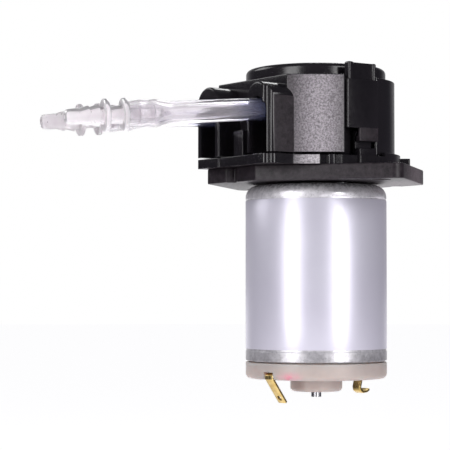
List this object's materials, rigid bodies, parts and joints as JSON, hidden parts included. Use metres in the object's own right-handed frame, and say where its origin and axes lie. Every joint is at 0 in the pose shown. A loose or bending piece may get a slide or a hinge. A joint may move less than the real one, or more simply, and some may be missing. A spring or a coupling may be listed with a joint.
{
  "type": "peristaltic pump",
  "caption": "Small peristaltic pump: a can motor under a square-cornered mounting plate drives a latched roller head that squeezes a silicone tube with barbed connectors.",
  "frame": {"origin": "on the motor's axis, in the plane of the mounting plate's underside, which is the face that meets the panel", "axes": "+Z along the motor shaft from the motor up to the roller head; -X is the way the tube ends leave the head; Y is along the line through the two latches and the two mounting holes"},
  "size_m": [0.076, 0.0514, 0.065],
  "materials": {
    "black_nylon": "moulded black plastic, satin with a fine sparked texture on the bowed walls",
    "black_gloss": "smooth moulded black plastic",
    "steel": "zinc-plated drawn steel",
    "core_steel": "stacked electrical steel",
    "foil": "silver metallised label, blank",
    "natural_nylon": "natural nylon, slightly translucent",
    "brass": "bright brass",
    "copper": "enamelled copper",
    "bronze": "sintered bronze",
    "ferrite": "ferrite magnet",
    "carbon": "pressed carbon",
    "acetal": "natural acetal",
    "silicone": "clear silicone with a milky tint",
    "polypropylene": "natural polypropylene, milky"
  },
  "bodies": {
    "frame": {"motor_can": "steel", "motor_label": "foil", "motor_end_cap": "natural_nylon", "magnet_a": "ferrite", "magnet_b": "ferrite", "front_bearing": "bronze", "rear_bearing": "bronze", "brush_a": "carbon", "brush_b": "carbon", "terminal_left": "brass", "terminal_right": "brass", "motor_screw_a": "steel", "motor_screw_b": "steel", "base_plate": "black_nylon", "pump_housing": "black_nylon", "head_cap": "black_gloss", "pump_tube": "silicone", "inlet_tube": "silicone", "outlet_tube": "silicone", "inlet_connector": "polypropylene", "outlet_connector": "polypropylene"},
    "rotor": {"motor_shaft": "steel", "armature_core": "core_steel", "armature_winding": "copper", "commutator": "copper", "drive_sleeve": "steel"},
    "carrier": {"carrier_lower": "acetal", "carrier_upper": "acetal", "roller_pin_1": "steel", "roller_pin_2": "steel", "roller_pin_3": "steel"},
    "roller_1": {"roller_1": "acetal"},
    "roller_2": {"roller_2": "acetal"},
    "roller_3": {"roller_3": "acetal"},
    "latch_front": {"latch_front": "black_gloss"},
    "latch_rear": {"latch_rear": "black_gloss"}
  },
  "joints": [
    {"name": "shaft_spin", "type": "hinge", "parent": "frame", "child": "rotor", "pos_m": [0, 0, 0], "axis": [0, 0, 1], "continuous": true},
    {"name": "carrier_spin", "type": "hinge", "parent": "frame", "child": "carrier", "pos_m": [0, 0, 0.012], "axis": [0, 0, 1], "continuous": true},
    {"name": "roller_1_spin", "type": "hinge", "parent": "carrier", "child": "roller_1", "pos_m": [0.0059, 0, 0.012], "axis": [0, 0, 1], "continuous": true},
    {"name": "roller_2_spin", "type": "hinge", "parent": "carrier", "child": "roller_2", "pos_m": [-0.00295, 0.00511, 0.012], "axis": [0, 0, 1], "continuous": true},
    {"name": "roller_3_spin", "type": "hinge", "parent": "carrier", "child": "roller_3", "pos_m": [-0.00295, -0.00511, 0.012], "axis": [0, 0, 1], "continuous": true},
    {"name": "latch_front_flex", "type": "hinge", "parent": "frame", "child": "latch_front", "pos_m": [-0.0015, -0.0145, 0.013], "axis": [-1, 0, 0], "range_deg": [0, 7], "stiffness_Nm_per_rad": 0.3},
    {"name": "latch_rear_flex", "type": "hinge", "parent": "frame", "child": "latch_rear", "pos_m": [-0.0015, 0.0145, 0.013], "axis": [1, 0, 0], "range_deg": [0, 7], "stiffness_Nm_per_rad": 0.3}
  ],
  "couplings": [
    {"joint": "carrier_spin", "follows": "shaft_spin", "ratio": 0.1907},
    {"joint": "roller_1_spin", "follows": "shaft_spin", "ratio": -0.4989},
    {"joint": "roller_2_spin", "follows": "shaft_spin", "ratio": -0.4989},
    {"joint": "roller_3_spin", "follows": "shaft_spin", "ratio": -0.4989}
  ]
}
